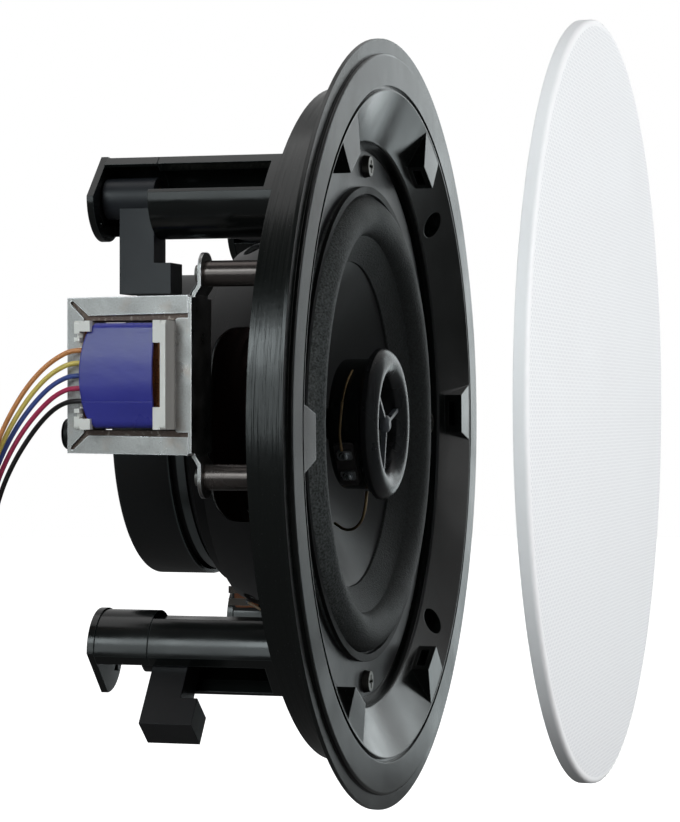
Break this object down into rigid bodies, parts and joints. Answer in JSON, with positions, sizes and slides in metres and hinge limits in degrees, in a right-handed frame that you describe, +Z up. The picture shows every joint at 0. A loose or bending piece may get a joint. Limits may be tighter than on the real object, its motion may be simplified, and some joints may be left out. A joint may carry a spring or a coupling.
{
  "type": "in wall speaker",
  "caption": "Round two-way in-wall speaker with swing-out clamps, a line transformer on the back and a push-on perforated grille.",
  "frame": {"origin": "centre of the flange's seating face, where the body's cylindrical wall leaves it", "axes": "+Y runs backwards along the body, away from the room; the speaker faces -Y; +Z is up, with the transformer on the -X side"},
  "size_m": [0.232, 0.1607, 0.2352],
  "materials": {
    "black_moulding": "satin moulded black plastic",
    "grille_steel": "white paint on finely perforated steel",
    "black_steel": "black paint on pressed steel",
    "foam": "matt black",
    "gasket_card": "black pressed card",
    "cone_paper": "dark grey, satin",
    "former_film": "amber film",
    "copper_wire": "copper",
    "spider_cloth": "resin-dipped cloth",
    "plated_steel": "plated steel",
    "ferrite": "sintered dark grey",
    "dome_film": "dark film",
    "bezel_plastic": "satin dark grey-black",
    "grey_plastic": "light grey",
    "laminate_board": "orange-brown laminate",
    "tinned_tag": "tinned metal",
    "black_screw": "black steel",
    "tinsel_braid": "braided tinsel",
    "lamination_steel": "brown varnished lamination edges",
    "zinc_steel": "zinc-plated sheet",
    "post_metal": "dark brown-grey, satin",
    "zinc_screw": "zinc plated",
    "white_nylon": "natural white",
    "blue_tape": "glossy blue tape",
    "bumper_rubber": "matt black",
    "clamp_screw_steel": "zinc and yellow passivate",
    "dog_plastic": "bluish grey",
    "brass_nut": "brass",
    "orange_insulation": "orange",
    "yellow_insulation": "yellow",
    "blue_insulation": "blue",
    "red_insulation": "red",
    "black_insulation": "black"
  },
  "bodies": {
    "speaker": {"baffle": "black_moulding", "basket": "black_steel", "surround": "foam", "gasket": "gasket_card", "spider": "spider_cloth", "top_plate": "plated_steel", "magnet_ring": "ferrite", "back_plate_and_pole": "plated_steel", "magnet_cover": "black_steel", "tweeter_post": "black_steel", "tweeter_housing": "black_moulding", "tweeter_magnet": "ferrite", "tweeter_dome": "dome_film", "tweeter_bezel": "bezel_plastic", "phase_plug": "grey_plastic", "tweeter_tag_board": "laminate_board", "tweeter_tags": "tinned_tag", "tweeter_leads": "copper_wire", "driver_screws": "black_screw", "terminal_strip": "laminate_board", "terminal_tags": "tinned_tag", "tinsel_leads": "tinsel_braid", "transformer_core": "lamination_steel", "transformer_frame": "zinc_steel", "transformer_strap": "zinc_steel", "standoff_posts": "post_metal", "post_screws": "zinc_screw", "transformer_bobbin": "white_nylon", "transformer_winding": "copper_wire", "transformer_tape": "blue_tape", "frame_bumper": "bumper_rubber", "lead_tips": "tinned_tag", "lead_orange": "orange_insulation", "lead_yellow": "yellow_insulation", "lead_blue": "blue_insulation", "lead_red": "red_insulation", "lead_black": "black_insulation", "clamp_tower_1": "black_moulding", "clamp_cap_1": "black_moulding", "clamp_tower_2": "black_moulding", "clamp_cap_2": "black_moulding", "clamp_tower_3": "black_moulding", "clamp_cap_3": "black_moulding", "clamp_tower_4": "black_moulding", "clamp_cap_4": "black_moulding"},
    "moving_cone": {"cone": "cone_paper", "voice_coil_former": "former_film", "voice_coil": "copper_wire"},
    "grille": {"grille": "grille_steel"},
    "clamp_1": {"clamp_screw_1": "clamp_screw_steel", "clamp_dog_1": "dog_plastic", "clamp_nut_1": "brass_nut"},
    "clamp_2": {"clamp_screw_2": "clamp_screw_steel", "clamp_dog_2": "dog_plastic", "clamp_nut_2": "brass_nut"},
    "clamp_screw_3": {"clamp_screw_3": "clamp_screw_steel"},
    "clamp_dog_3": {"clamp_dog_3": "dog_plastic", "clamp_nut_3": "brass_nut"},
    "clamp_4": {"clamp_screw_4": "clamp_screw_steel", "clamp_dog_4": "dog_plastic", "clamp_nut_4": "brass_nut"}
  },
  "joints": [
    {"name": "grille_push_on", "type": "slide", "parent": "speaker", "child": "grille", "axis": [0, 0.994, -0.1095], "range_m": [0, 0.06107]},
    {"name": "cone_travel", "type": "slide", "parent": "speaker", "child": "moving_cone", "axis": [0, 1, 0], "range_m": [-0.003, 0.003], "stiffness_N_per_m": 1500, "deforming": ["surround", "spider", "tweeter_leads", "tinsel_leads"]},
    {"name": "clamp_1_swing", "type": "hinge", "parent": "speaker", "child": "clamp_1", "pos_m": [0.0647, 0.0135, 0.0647], "axis": [0, 1, 0], "range_deg": [0, 129]},
    {"name": "clamp_2_swing", "type": "hinge", "parent": "speaker", "child": "clamp_2", "pos_m": [-0.0647, 0.0135, 0.0647], "axis": [0, 1, 0], "range_deg": [0, 129]},
    {"name": "clamp_screw_3_turn", "type": "hinge", "parent": "speaker", "child": "clamp_screw_3", "pos_m": [-0.0647, 0.0135, -0.0647], "axis": [0, 1, 0], "range_deg": [-2590, 5065]},
    {"name": "clamp_dog_3_draw", "type": "slide", "parent": "speaker", "child": "clamp_dog_3", "axis": [0, -1, 0], "range_m": [-0.0115, 0.0225]},
    {"name": "clamp_4_swing", "type": "hinge", "parent": "speaker", "child": "clamp_4", "pos_m": [0.0647, 0.0135, -0.0647], "axis": [0, 1, 0], "range_deg": [0, 129]}
  ],
  "couplings": [
    {"joint": "clamp_screw_3_turn", "follows": "clamp_dog_3_draw", "rad_per_m": 3927}
  ]
}
